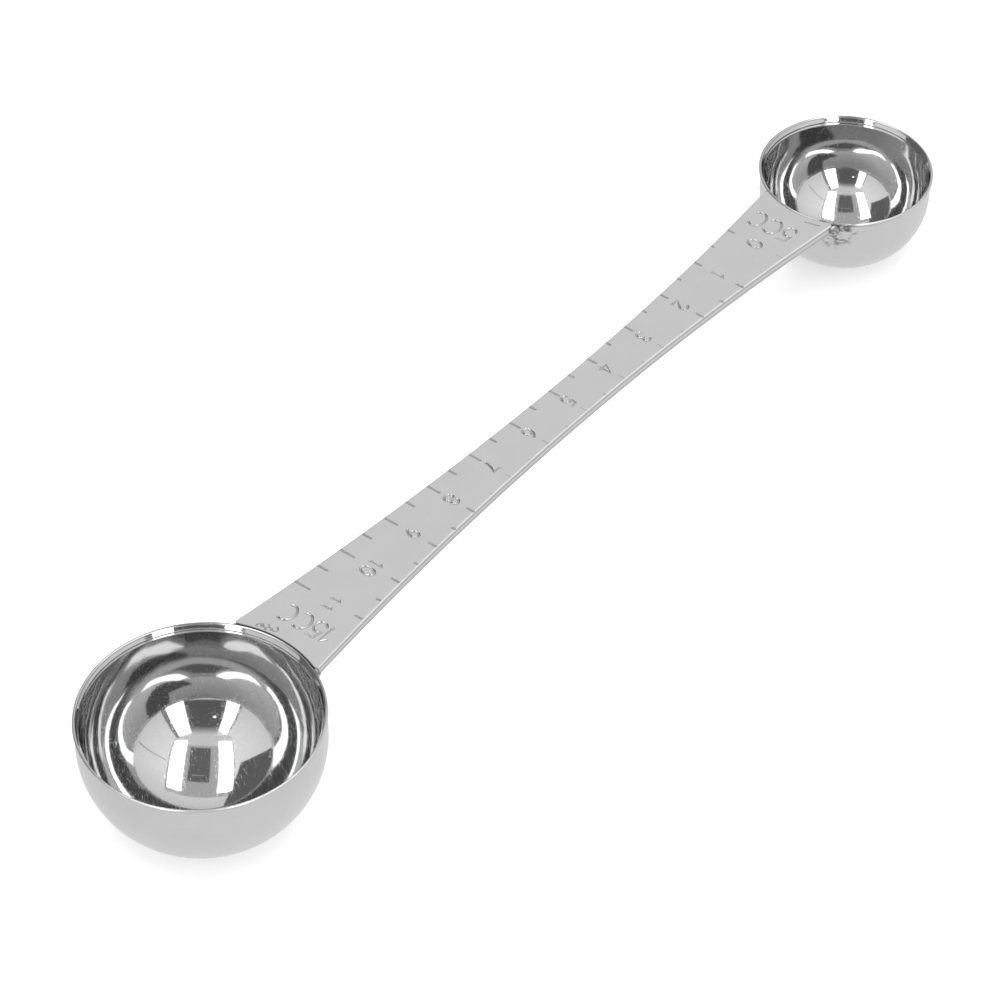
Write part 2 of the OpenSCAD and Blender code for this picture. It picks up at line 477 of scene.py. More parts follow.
def turned_steel(name, size):
    """The outside of a bowl: satin, with the fine rings of a lathe, heat marks by the near weld, and
    painted light and shade.
    """
    material, board = blank_material(name)
    place = in_frame(board, at_rest @ size.hang())
    rings = streaks(board, place, (60, 60, 9000))
    cloud = clouds(board, place, 120)
    height = along(board, place, (0, 0, 1))
    # Painted light: the grey is lighter towards the side where more light falls
    painted_light_side = along(board, place, rightward) / size.rim_r
    # Painted shade: the grey is darker towards the bottom, where the shadow on the paper is mirrored
    low = board.portion(height / size.rim_r, -0.5, -1.0)
    level = outside_grey + painted_light_side * 0.025 - low * 0.05 + (cloud - 0.5) * 0.06 + (rings - 0.5) * 0.06
    from_weld = board.vector("DISTANCE", place, size.weld_spot(), "Value")
    scorch = board.portion(streaks(board, place, (650, 650, 1300), 3.0, 0.7), 0.47, 0.62)
    heat = board.portion(board.portion(from_weld, heat_reach, 0.0), 0.1, 0.4) * scorch
    # Painted shade: the lip's edge is darker on the far side
    edge = board.portion(height, -0.26 * MM, -0.12 * MM)
    painted_far_edge_shade = board.portion(along(board, place, forward) / size.rim_r, 0.0, -0.5) * edge
    # Real heat tint by the weld, times the painted shade at the far edge
    heat_tint_and_painted_shade = (1 - heat * 0.75) * (1 - painted_far_edge_shade * 0.55)
    roughness = 0.3 + (rings - 0.5) * 0.15
    finish_metal(board, level * heat_tint_and_painted_shade, roughness, relief(board, 0.12, 0.02 * MM, rings))
    return material


# %% Polished inside of a bowl
inside_grey = 0.57
scratch_turn = 0.9


def polished_steel(name, size):
    """The inside of a bowl: a mirror with faint hairline scratches, and slight waves up the wall."""
    material, board = blank_material(name)
    place = in_frame(board, at_rest @ size.hang())
    hair = streaks(board, place, (900, 900, 9000), 5.0, 0.7)
    turn = {"Vector": place, "Rotation": (0, 0, scratch_turn)}
    turned = board.node("ShaderNodeMapping", {"vector_type": "TEXTURE"}, turn)
    scratch = board.portion(streaks(board, turned, (260, 5200, 5200), 4.0, 0.7), 0.54, 0.7)
    up_wall = board.portion(along(board, place, (0, 0, 1)), -12 * MM, -5 * MM)
    waves = streaks(board, place, (300, 300, 160), 1.0, 0.4) * up_wall
    level = inside_grey + (hair - 0.5) * 0.03 + scratch * 0.05
    roughness = 0.04 + hair**3 * 0.1 + scratch * 0.24
    fine = relief(board, 0.01, 0.01 * MM, hair)
    finish_metal(board, level, roughness, relief(board, 1.0, 0.06 * MM, waves, fine))
    return material


# %% [markdown]
# ## The bowls
# A bowl is pressed from a round blank: a flared lip, a neck, a body that swells
# below it, a side curve and a flatter bottom. It could be spun from a profile with
# Blender's Spin, but a Geometry Nodes lathe keeps every size as a dial and serves
# both bowls. A flat grid is rolled up: one side of the grid runs along the
# section, from the middle of the outside over the lip to the middle of the
# inside, and the other side runs round the axis.

# %% Dials and steps of the lathe
bowl_dials = {
    "length": [
        "Rim Radius",
        "Body Radius",
        "Widest Depth",
        "Side Centre",
        "Bottom Centre",
        "Wall",
        "Lip Height",
        "Lip Flare",
        "Crease",
        "Lip Edge",
        "Groove Depth",
        "Groove Place",
        "Groove Reach",
    ],
    "count": ["Turns"],
    "material": ["Outside", "Inside"],
}
# Steps along one skin of the sheet, counted from the top of the lip
edge_steps = 10
flare_steps = 20
shoulder_steps = 46
side_steps = 86
skin_steps = 110
edge_stop, flare_stop, shoulder_stop, side_stop = (
    count / skin_steps for count in (edge_steps, flare_steps, shoulder_steps, side_steps)
)
print("a section has", 2 * skin_steps, "steps")

# %% Section of a bowl
lip_blend = 0.05 * MM


def lip_section(board, dial, from_lip, skin, depth):
    """Radius and depth down to the swell. skin is 0 on the outside and the wall's thickness inside."""
    cone_h = dial["Lip Height"] - dial["Wall"] / 2
    swell_h = dial["Widest Depth"] - dial["Lip Height"]
    depth = depth + board.portion(from_lip, edge_stop, flare_stop) * cone_h
    depth = depth + board.portion(from_lip, flare_stop, shoulder_stop) ** 2 * swell_h
    cone = dial["Lip Flare"] * board.math("MAXIMUM", (depth - dial["Wall"] / 2) / cone_h, 0)
    share = board.math("MINIMUM", (depth - dial["Lip Height"]) / swell_h, 1)
    grown = dial["Body Radius"] - dial["Rim Radius"] + dial["Lip Flare"]
    swell = dial["Lip Flare"] - grown * share * (2 - share)
    inset = board.math("SMOOTH_MIN", cone, swell, dial["Crease"]) + skin
    # The chamfer and the groove are cut in the inner skin alone
    chamfer = dial["Lip Edge"] + depth * dial["Lip Flare"] / cone_h
    chamfer = chamfer + (1 - skin / dial["Wall"])
    from_groove = board.math("ABSOLUTE", depth - dial["Groove Place"]) / dial["Groove Reach"]
    groove = board.math("MAXIMUM", 1 - from_groove, 0) * dial["Groove Depth"] * skin / dial["Wall"]
    radius = dial["Rim Radius"] - board.math("SMOOTH_MIN", inset, chamfer, lip_blend) + groove
    return radius, depth


def section(board, dial, across):
    """Radius and depth along the section. Each stretch adds its part to the last one."""
    from_lip = board.math("ABSOLUTE", across * 2 - 1)
    half_turn = board.portion(across, 0.5 - edge_stop / 2, 0.5 + edge_stop / 2) * math.pi
    skin = (1 - board.math("COSINE", half_turn)) * dial["Wall"] / 2
    depth = dial["Wall"] / 2 - board.math("SINE", half_turn) * dial["Wall"] / 2
    radius, depth = lip_section(board, dial, from_lip, skin, depth)

    side = dial["Body Radius"] - dial["Side Centre"] - skin
    reach = (dial["Side Centre"] ** 2 + dial["Bottom Centre"] ** 2) ** 0.5
    turn = board.math("ARCTAN2", dial["Bottom Centre"], dial["Side Centre"])
    side_turn = board.portion(from_lip, shoulder_stop, side_stop) * turn
    bottom_turn = turn + board.portion(from_lip, side_stop, 1.0) * (math.pi / 2 - turn)
    radius = radius + side * (board.math("COSINE", side_turn) - 1)
    radius = radius + (side + reach) * (board.math("COSINE", bottom_turn) - board.math("COSINE", turn))
    depth = depth + side * board.math("SINE", side_turn)
    depth = depth + (side + reach) * (board.math("SINE", bottom_turn) - board.math("SINE", turn))
    return radius, depth


# %% The lathe


def bowl_lathe():
    """The tree that rolls a grid up into a bowl with a wall and a round lip."""
    board, dial = machine("bowl_lathe", bowl_dials)
    rows = {"Vertices X": 2 * skin_steps + 1, "Vertices Y": dial["Turns"] + 1}
    grid = board.node("GeometryNodeMeshGrid", {}, {"Size X": 1.0, "Size Y": 1.0, **rows}, "Mesh")
    place = board.node("GeometryNodeInputPosition")
    across = board.node("ShaderNodeSeparateXYZ", {}, {0: place}, "X") + 0.5
    angle = board.node("ShaderNodeSeparateXYZ", {}, {0: place}, "Y") * (2 * math.pi)
    radius, depth = section(board, dial, across)
    x = radius * board.math("COSINE", angle)
    y = radius * board.math("SINE", angle)
    rolled = board.node("ShaderNodeCombineXYZ", {}, {"X": x, "Y": y, "Z": 0 - depth})
    # The grid's place is kept as an attribute, to tell the inside from the outside
    number = {"data_type": "FLOAT"}
    noted = {"Geometry": grid, "Name": "across", "Value": across}
    marked = board.node("GeometryNodeStoreNamedAttribute", {**number, "domain": "POINT"}, noted)
    bowl = board.node("GeometryNodeSetPosition", {}, {"Geometry": marked, "Position": rolled})
    closed = board.node("GeometryNodeMergeByDistance", {}, {"Geometry": bowl, "Distance": 0.001 * MM})
    outer = paint(board, realize(board, closed), dial["Outside"])
    kept = board.node("GeometryNodeInputNamedAttribute", number, {"Name": "across"})
    mirror = paint(board, outer, dial["Inside"], kept > 0.5)
    board.node("NodeGroupOutput", {}, {"Geometry": mirror})
    return board.tree


lathe = bowl_lathe()
print("lathe has", len(lathe.nodes), "nodes")

# %% Finished pieces


def odd_edges(work):
    """How many edges don't join exactly two faces. A closed shell has none."""
    return sum(1 for edge in work.edges if len(edge.link_faces) != 2)


def point_outwards(mesh):
    """Recalculates the normals of a closed shell."""
    work = bmesh.new()
    work.from_mesh(mesh)
    bmesh.ops.recalc_face_normals(work, faces=work.faces)
    print("odd edges:", odd_edges(work))
    work.to_mesh(mesh)
    work.free()


def dress(piece, node):
    """Sets a finished piece in the frame: it rides and replaces its node."""
    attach(piece, "root")
    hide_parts(node)


# %% Spin both bowls
# A chamfer on the lip's inner edge, and a shallow rolled groove below it
lip_edge = 0.18 * MM
groove_d = 0.22 * MM
groove_place = 1.05 * MM
groove_reach = 0.24 * MM


def make_bowl(name, size, turns):
    """One bowl, hung on the handle and set at rest."""
    settings = {
        "Rim Radius": size.rim_r,
        "Body Radius": size.body_r,
        "Widest Depth": size.widest,
        "Side Centre": size.side_centre,
        "Bottom Centre": size.bottom_centre,
        "Wall": wall,
        "Lip Height": lip_h,
        "Lip Flare": lip_flare,
        "Crease": crease,
        "Lip Edge": lip_edge,
        "Groove Depth": groove_d,
        "Groove Place": groove_place,
        "Groove Reach": groove_reach,
        "Turns": turns,
        "Outside": turned_steel(name + "_turned_steel", size),
        "Inside": polished_steel(name + "_polished_steel", size),
    }
    piece = run_machine(lathe, name + "_shell", settings)
    piece.data.transform(at_rest @ size.hang())
    point_outwards(piece.data)
    piece.data.shade_smooth()
    dress(piece, name)


make_bowl("large_bowl", large, 240)
make_bowl("small_bowl", small, 200)

# %% [markdown]
# ## The handle's plate
# The plate is cut from strip: two long hollow edges, and two ends that follow the
# bowls. Its corners are broken by tumbling, which gives the thin bright line along
# the top edge, helped by a painted highlight in the handle's material. A grid round
# the section, drawn at many stations along the length, keeps both the ends and the
# small corner radius exact.

# %% Ends of the plate
halvings = 40


def end_of_plate(size, y, z):
    """Where the plate's end meets the bowl, at this y and z: found by halving."""
    back = size.hang().inverted()
    near = size.end_x - size.way * 2 * MM
    far = size.end_x + size.way * size.rim_r / 2
    for _ in range(halvings):
        x = (near + far) / 2
        spot = back @ Vector((x, y, z))
        if math.hypot(spot.x, spot.y) > size.rim_r - size.lip_inset(-spot.z):
            near = x
        else:
            far = x
    return near


middle_l = end_of_plate(large, 0, 0) - end_of_plate(small, 0, 0)
print("plate is", round(middle_l / MM, 2), "mm long in the middle")

# %% Section of the plate
corner_r = 0.2 * MM
across_steps = 24
corner_steps = 5


def plate_section():
    """The loop round the plate: shares of its half width and thickness, then of the corner's radius."""
    turns = [math.pi / 2 * i / corner_steps for i in range(corner_steps + 1)]
    loop = [(2 * i / across_steps - 1, 0.0, 0.0, 0.0) for i in range(across_steps + 1)]
    loop += [(1.0, 0.0, math.sin(a), math.cos(a) - 1) for a in turns[1:]]
    loop += [(1.0, -1.0, math.cos(a), 1 - math.sin(a)) for a in turns]
    loop += [(1 - 2 * i / across_steps, -1.0, 0.0, 0.0) for i in range(1, across_steps + 1)]
    loop += [(-1.0, -1.0, -math.sin(a), 1 - math.cos(a)) for a in turns[1:]]
    loop += [(-1.0, 0.0, -math.cos(a), math.sin(a) - 1) for a in turns[:-1]]
    return loop


def plate_y(x, share, corner):
    """How far out a point of the loop lies at x."""
    return share * (half_width(x) - corner_r) + corner * corner_r


print("plate's section has", len(plate_section()), "points")

# %% Plate mesh
plan_r = 0.9 * MM
length_steps = 180
end_rounds = 6


def plate_ends(loop):
    """Height of each point of the loop, and where its line along the plate starts and stops."""
    ends = []
    for y_share, z_share, y_corner, z_corner in loop:
        z = z_share * handle_t + z_corner * corner_r
        pair = []
        for size in (small, large):
            x = size.end_x
            for _ in range(end_rounds):
                y = plate_y(x, y_share, y_corner)
                x = end_of_plate(size, y, z)
            off_edge = half_width(x) - abs(y)
            pair.append(x - size.way * plan_r * max(1 - off_edge / plan_r, 0) ** 2)
        ends.append((z, *pair))
    return ends


def plate_mesh():
    """The plain plate, closed at both ends."""
    loop = plate_section()
    ends = plate_ends(loop)
    verts = []
    for i in range(length_steps + 1):
        for (y_share, _, y_corner, _), (z, first, last) in zip(loop, ends):
            x = first + (last - first) * i / length_steps
            verts.append((x, plate_y(x, y_share, y_corner), z))
    count = len(loop)
    faces = []
    for i in range(length_steps):
        for j in range(count):
            k = (j + 1) % count
            faces.append((i * count + j, i * count + k, (i + 1) * count + k, (i + 1) * count + j))
    # Both ends are closed by strips across the thickness
    for first in (0, length_steps * count):
        for j in range(count // 2 - 1):
            above, beside = (first + (count - corner_steps + k) % count for k in (j, j + 1))
            below, under = (first + (count - corner_steps - 1 - k) % count for k in (j, j + 1))
            faces.append((above, beside, under, below))
    mesh = bpy.data.meshes.new("plate")
    mesh.from_pydata(verts, [], faces)
    return mesh


plain_plate = plate_mesh()
point_outwards(plain_plate)
print("plate has", len(plain_plate.polygons), "faces")

# %% [markdown]
# ## Numbers and letters
# The rule's numbers and the bowls' capacities are pressed in with thin round
# strokes. A font would bring outlines, but a stamp draws with strokes, so each
# sign is a few strokes made of arcs and lines, in shares of its height.

# %% Strokes of the signs


def arc(cx, cy, rx, ry, start, stop, steps=22):
    """Points along an ellipse's arc. Angles are in degrees, counted from the right."""
    angles = [math.radians(start + (stop - start) * i / steps) for i in range(steps + 1)]
    return [(cx + rx * math.cos(a), cy + ry * math.sin(a)) for a in angles]


# Width of each sign and its strokes, in shares of its height
SIGNS = {
    "0": (0.67, [arc(0.335, 0.5, 0.335, 0.5, 2, 357, 40)]),
    "1": (0.26, [[(0.0, 0.76), (0.22, 1.0), (0.22, 0.0)]]),
    "2": (0.56, [arc(0.28, 0.72, 0.27, 0.28, 165, -35) + [(0.02, 0.0), (0.56, 0.0)]]),
    "3": (0.54, [arc(0.27, 0.75, 0.24, 0.25, 155, -90), arc(0.27, 0.26, 0.27, 0.26, 90, -155)]),
    "4": (0.6, [[(0.44, 0.0), (0.44, 1.0), (0.0, 0.3), (0.6, 0.3)]]),
    "5": (0.54, [[(0.5, 1.0), (0.1, 1.0), (0.04, 0.56)], arc(0.25, 0.32, 0.28, 0.32, 138, -150)]),
    "6": (0.54, [arc(0.27, 0.3, 0.27, 0.3, 2, 357, 32), arc(0.6, 0.3, 0.6, 0.7, 180, 112, 8)]),
    "7": (0.6, [[(0.0, 1.0), (0.6, 1.0), (0.38, 0.6), (0.25, 0.0)]]),
    "8": (0.67, [arc(0.335, 0.76, 0.27, 0.24, 2, 357, 28), arc(0.335, 0.26, 0.335, 0.26, 2, 357, 32)]),
    "9": (0.54, [arc(0.27, 0.7, 0.27, 0.3, 2, 357, 32), arc(-0.06, 0.7, 0.6, 0.7, 0, -68, 8)]),
    "C": (0.66, [arc(0.38, 0.5, 0.38, 0.5, 48, 312, 36)]),
    "c": (0.66, [arc(0.38, 0.5, 0.38, 0.5, 62, 298, 32)]),
}


def sign_strokes(text, height, gap, centre, turn=0):
    """Strokes of a word in the handle's frame, centred on a point and turned."""
    width = sum(SIGNS[sign][0] for sign in text) * height + gap * (len(text) - 1)
    place = Matrix.Translation(centre) @ Matrix.Rotation(turn, 4, "Z")
    strokes = []
    start = -width / 2
    for sign in text:
        share, lines = SIGNS[sign]
        for line in lines:
            spots = [Vector((start + x * height, (y - 0.5) * height, 0)) for x, y in line]
            strokes.append([place @ spot for spot in spots])
        start += share * height + gap
    return strokes


print(len(SIGNS), "signs")

# %% Place the numbers
mark_pitch = 10 * MM
last_mark = 11
number_h = 2.5 * MM
number_gap = 1.02 * MM
last_number_h = 1.8 * MM
last_number_gap = 1.65 * MM
last_number_rise = 0.3 * MM
two_digit_shift = 0.22 * MM
number_creep = 0.075


def number_spot(n):
    """Middle of a number. The numbers creep towards the near edge, and the last one most."""
    x = n * mark_pitch + (two_digit_shift if n > 9 else 0)
    y = (number_creep * max(n - 3.5, 0) - 0.1) * MM
    return (x, y + (last_number_rise if n == last_mark else 0), 0)


strokes = []
for n in range(last_mark):
    strokes += sign_strokes(str(n), number_h, number_gap, number_spot(n))
# There is less room for the last number, which is smaller and wider
strokes += sign_strokes(str(last_mark), last_number_h, last_number_gap, number_spot(last_mark))
print(len(strokes), "strokes for the numbers")

# %% Place the capacities and the worn lines
# Height, gap and middle in millimetres
for text, height, gap, x, y in (("5CC", 3.58, 0.72, -5.29, -0.46), ("15cc", 3.65, 0.6, 116.15, 0.52)):
    strokes += sign_strokes(text, height * MM, gap * MM, (x * MM, y * MM, 0), -math.pi / 2)

worn_lift = 0.13 * MM
worn_strokes = []
# A small worn swirl beside the large bowl, and the print of the small rim in the plate
for cx, cy, r, start, stop in (
    (120.2, -2.4, 0.5, -60, 170),
    (120.9, -3.2, 0.45, 100, 330),
    (120.4, -4.0, 0.5, -80, 150),
    (121.1, -4.8, 0.4, 90, 320),
    (-25.25, 0.0, 15.75, 11, 20),
):
    bend = arc(cx, cy, r, r, start, stop, 8)
    worn_strokes.append([Vector((x * MM, y * MM, worn_lift * 0.5)) for x, y in bend])


def stroke_object(lines, lift):
    """All strokes as one object of loose edges, lifted over the top face."""
    verts = []
    edges = []
    for line in lines:
        first = len(verts)
        verts += [(p.x, p.y, p.z + lift) for p in line]
        edges += [(first + i, first + i + 1) for i in range(len(line) - 1)]
    mesh = bpy.data.meshes.new("strokes")
    mesh.from_pydata(verts, edges, [])
    return add_object("strokes", mesh)


print(len(strokes), "sharp strokes and", len(worn_strokes), "worn ones")

# %% [markdown]
# ## Stamping the rule
# The rule's lines repeat, so Geometry Nodes make them: points a centimetre apart,
# a straight stroke on each, and lengths that grow along the rule on the far edge.
# The same tree lays a round tool along every stroke and cuts it from the plate,
# which leaves a shallow groove with round ends.

# %% Dials of the stamp
stamp_dials = {
    "object": ["Signs", "Worn Strokes"],
    "length": [
        "Tool Radius",
        "Tool Lift",
        "Mark Pitch",
        "Waist At",
        "Waist Half Width",
        "Small Edge Radius",
        "Large Edge Radius",
        "Near Inset",
        "Overrun",
        "Worn Lift",
    ],
    "material": ["Plate", "Line Groove", "Sign Groove"],
}
print("stamp has", sum(len(names) for names in stamp_dials.values()), "dials")

# %% Lines of the rule
# Lengths of the lines: on the far edge at the start and at the end, and on the near edge
whole_lines = (1.3 * MM, 3.05 * MM, 1.3 * MM)
half_lines = (0.55 * MM, 2.2 * MM, 0.5 * MM)
# The near edge's lines are worn at the start and round the middle mark, and the last ones creep inwards
middle_mark = 5
worn_middle = (29 * MM, 26 * MM)
worn_start = (8 * MM, 6 * MM)
creep_span = (80 * MM, 105 * MM)
creep_most = 0.4 * MM


def rule_lines(board, dial, count, shift, far_first, far_last, near):
    """Straight strokes on both edges, one pair for each point of the rule."""
    points = board.node("GeometryNodeMeshLine", {}, {"Count": count}, "Mesh")
    number = board.node("GeometryNodeInputIndex")
    x = (number + shift) * dial["Mark Pitch"]
    off = x - dial["Waist At"]
    arc_r = board.mix(off > 0, dial["Small Edge Radius"], dial["Large Edge Radius"])
    half = dial["Waist Half Width"] + arc_r - (arc_r * arc_r - off * off) ** 0.5
    far = far_first + (far_last - far_first) * (number / last_mark)
    from_middle = board.math("ABSOLUTE", x - dial["Mark Pitch"] * middle_mark)
    near_middle = board.portion(from_middle, *worn_middle)
    worn = board.math("MAXIMUM", near_middle, board.portion(x, *worn_start)) * dial["Worn Lift"]
    creep = board.portion(x, *creep_span) * creep_most
    sides = []
    for start, length, rise in (
        (0 - half - dial["Overrun"], far + dial["Overrun"], 0.0),
        (half - dial["Near Inset"] - near - creep, near, worn),
    ):
        lift = dial["Tool Lift"] + rise
        spot = board.node("ShaderNodeCombineXYZ", {}, {"X": x, "Y": start, "Z": lift})
        moved = board.node("GeometryNodeSetPosition", {}, {"Geometry": points, "Position": spot})
        line = board.node("GeometryNodeCurvePrimitiveLine", {}, {"End": (0, 1, 0)}, "Curve")
        size = board.node("ShaderNodeCombineXYZ", {}, {"X": 1.0, "Y": length, "Z": 1.0})
        laid = {"Points": moved, "Instance": line, "Scale": size}
        sides.append(board.node("GeometryNodeInstanceOnPoints", {}, laid))
    return sides


# %% Tools along the strokes
tool_sides = 32
tool_rings = 16
# A ball is a little smaller than its bar, so that their skins never coincide
ball_share = 0.97


def stamp_tools(board, dial, lines, material):
    """Round bars with balls at their ends along some curves."""
    real = realize(board, lines)
    round_bar = {"Resolution": tool_sides, "Radius": dial["Tool Radius"]}
    circle = board.node("GeometryNodeCurvePrimitiveCircle", {}, round_bar, "Curve")
    swept = {"Curve": real, "Profile Curve": circle, "Fill Caps": True}
    bars = board.node("GeometryNodeCurveToMesh", {}, swept)
    ends = board.node("GeometryNodeCurveEndpointSelection")
    round_end = {"Segments": tool_sides, "Rings": tool_rings, "Radius": dial["Tool Radius"] * ball_share}
    ball = board.node("GeometryNodeMeshUVSphere", {}, round_end, "Mesh")
    laid = {"Points": real, "Selection": ends, "Instance": ball}
    balls = realize(board, board.node("GeometryNodeInstanceOnPoints", {}, laid))
    tools = board.node("GeometryNodeJoinGeometry", {}, {"Geometry": [bars, balls]})
    return paint(board, tools, material)


def stroke_curves(board, source):
    """The loose edges of an object as curves."""
    mesh = board.node("GeometryNodeObjectInfo", {}, {"Object": source}, "Geometry")
    return board.node("GeometryNodeMeshToCurve", {}, {"Mesh": mesh})


# %% The stamp


def stamp():
    """The tree that cuts the rule's lines and all strokes from a plate."""
    board, dial = machine("rule_stamp", stamp_dials)
    whole = rule_lines(board, dial, last_mark + 1, 0.0, *whole_lines)
    half = rule_lines(board, dial, last_mark, 0.5, *half_lines)
    worn = stroke_curves(board, dial["Worn Strokes"])
    lines = board.node("GeometryNodeJoinGeometry", {}, {"Geometry": whole + half + [worn]})
    line_tools = stamp_tools(board, dial, lines, dial["Line Groove"])
    sign_tools = stamp_tools(board, dial, stroke_curves(board, dial["Signs"]), dial["Sign Groove"])
    blank = paint(board, dial["Geometry"], dial["Plate"])
    how = {"operation": "DIFFERENCE", "solver": "EXACT"}
    what = {"Mesh 1": blank, "Mesh 2": [line_tools, sign_tools], "Self Intersection": True}
    cut = realize(board, board.node("GeometryNodeMeshBoolean", how, what, "Mesh"))
    is_line = board.node("GeometryNodeMaterialSelection", {}, {"Material": dial["Line Groove"]})
    is_sign = board.node("GeometryNodeMaterialSelection", {}, {"Material": dial["Sign Groove"]})
    done = paint(board, cut, dial["Plate"], 1 - (is_line + is_sign))
    board.node("NodeGroupOutput", {}, {"Geometry": done})
    return board.tree


rule_stamp = stamp()
print("stamp has", len(rule_stamp.nodes), "nodes")

# %% Stamp the plate
tool_r = 0.25 * MM
groove_depth = 0.14 * MM
near_inset = 0.15 * MM
least_gap = 0.0005 * MM
sharp_angle = math.radians(20)


def clean(mesh):
    """Merges the near points that a cut leaves, and drops faces without area."""
    work = bmesh.new()
    work.from_mesh(mesh)
    bmesh.ops.remove_doubles(work, verts=work.verts, dist=least_gap)
    bmesh.ops.dissolve_degenerate(work, edges=work.edges, dist=least_gap)
    print("odd edges:", odd_edges(work))
    work.to_mesh(mesh)
    work.free()


tool_lift = tool_r - groove_depth
sign_lines = stroke_object(strokes, tool_lift)
worn_lines = stroke_object(worn_strokes, tool_lift)
stamp_settings = {
    "Signs": sign_lines,
    "Worn Strokes": worn_lines,
    "Tool Radius": tool_r,
    "Tool Lift": tool_lift,
    "Mark Pitch": mark_pitch,
    "Waist At": waist_at,
    "Waist Half Width": waist_w / 2,
    "Small Edge Radius": small_edge_r,
    "Large Edge Radius": large_edge_r,
    "Near Inset": near_inset,
    "Overrun": handle_t,
    "Worn Lift": worn_lift,
    "Plate": handle_finish,
    "Line Groove": line_finish,
    "Sign Groove": sign_finish,
}
handle_plate = run_machine(rule_stamp, "handle_plate", stamp_settings, plain_plate)
bpy.data.objects.remove(sign_lines)
bpy.data.objects.remove(worn_lines)
clean(handle_plate.data)
handle_plate.data.transform(at_rest)
handle_plate.data.shade_smooth()
handle_plate.data.set_sharp_from_angle(angle=sharp_angle)
weigh = handle_plate.modifiers.new("flat faces win", "WEIGHTED_NORMAL")
weigh.keep_sharp = True
dress(handle_plate, "handle")

# %% [markdown]
# ## The welds
# The handle is tacked to each bowl at its two corners. A tack weld is a small lump
# that has run into the corner and frozen, darker than the steel round it. A
# squashed ball that is pushed about by noise has that look.

# %% Weld steel


def weld_steel():
    """Frozen weld metal: grey and glossy, with dark scale in patches."""
    material, board = blank_material("weld_bead_steel")
    place = in_frame(board, at_rest)
    cloud = clouds(board, place, 900, 4.0, 0.6)
    scale = board.portion(clouds(board, place, 1300, 2.0), 0.44, 0.54)
    level = (0.38 + cloud * 0.3) * (1 - scale * 0.55)
    finish_metal(board, level, 0.28 + scale * 0.2, relief(board, 0.5, 0.1 * MM, cloud))
    return material


weld_finish = weld_steel()
print("welds:", weld_finish.name)

# %% Weld beads
lump = 0.7 * MM
grain = 0.3 * MM
sink = wall * 0.4
far_slope = 1.7
pull_in = 0.55


def settle(point, size, side):
    """Keeps a point of a bead out of the bowl, and a far one below the sight over the handle."""
    hang = size.hang()
    spot = hang.inverted() @ point
    least = size.rim_r - size.lip_inset(-spot.z) - sink
    radius = math.hypot(spot.x, spot.y)
    if radius < least:
        spot.x *= least / radius
        spot.y *= least / radius
    point = hang @ spot
    beyond = max(side * point.y - half_width(size.end_x), 0)
    if side < 0:
        point.z = min(point.z, -bead_drop - beyond * far_slope)
    elif size is large:
        point.y -= beyond * pull_in
    return point


def make_weld(name, size, side):
    """One bead in the corner between the handle's edge and a bowl."""
    centre = weld_centre(size, side)
    work = bmesh.new()
    bmesh.ops.create_icosphere(work, subdivisions=5, radius=bead_d / 2)
    for vert in work.verts:
        push = noise.noise(vert.co / lump + centre / MM) + noise.noise(vert.co / grain) * 0.5
        vert.co = settle(vert.co * min(0.9 + 0.16 * push, 1.0) + centre, size, side)
    mesh = bpy.data.meshes.new(name)
    work.to_mesh(mesh)
    work.free()
    mesh.transform(at_rest)
    mesh.shade_smooth()
    mesh.materials.append(weld_finish)
    dress(add_object(name + "_bead", mesh), name)
    print(name, "has", len(mesh.polygons), "faces")


for end, size in (("large_bowl", large), ("small_bowl", small)):
    for side, word in ((1, "near"), (-1, "far")):
        make_weld(f"{end}_{word}_weld", size, side)

# %% [markdown]
# ## The studio
# A mirror shows its surroundings, so the polished bowls need a real studio to look
# right: a white tent with four long soft boxes, two in the ceiling and two beside
# the camera, and the dark gap between them where the camera stands. The soft boxes
# are area lights, and the darker parts are cards that only reflections see.

# %% Soft boxes
up = Vector((0, 0, 1))
ceiling_h = 1520
front_wall = 894
box_glow = 2.6
# At this many watts for each square metre, an area light shows as plain white
white_watts = 4


def tent(ahead, right, height):
    """A place in the tent, in mm: ahead is towards the camera, right is the camera's right."""
    return forward * (ahead * MM) + rightward * (right * MM) + up * (height * MM)


def soft_box(name, middle, wide, tall, width, height):
    """An area light, width along wide and height along tall. It shines against wide × tall."""
    light = bpy.data.lights.new(name, "AREA")
    light.shape = "RECTANGLE"
    light.size = width * MM
    light.size_y = height * MM
    light.energy = box_glow * light.size * light.size_y * white_watts
    lamp = add_object(name, light)
    facing = Matrix((wide, tall, wide.cross(tall))).transposed().to_4x4()
    lamp.matrix_world = Matrix.Translation(middle) @ facing
    lamp.visible_camera = False
    print(name, round(width), "by", round(height), "mm")


for name, left, right, back, front in (
    ("ceiling_box_right", 344, 679, -628, 681),
    ("ceiling_box_left", -706, -376, -623, 671),
):
    middle = tent((back + front) / 2, (left + right) / 2, ceiling_h)
    soft_box(name, middle, rightward, -forward, right - left, front - back)
# Front boxes are turned a little, so that they face the scoop. Ends are given as (ahead, right).
for name, left, right, low, high in (
    ("front_box_right", (894, 287), (760, 538), 120, 1365),
    ("front_box_left", (760, -494), (894, -349), 120, 1226),
):
    start = tent(*left, (low + high) / 2)
    stop = tent(*right, (low + high) / 2)
    wide = (stop - start).normalized()
    soft_box(name, (start + stop) / 2, wide, up, (stop - start).length / MM, high - low)

# %% Cards that only reflections see


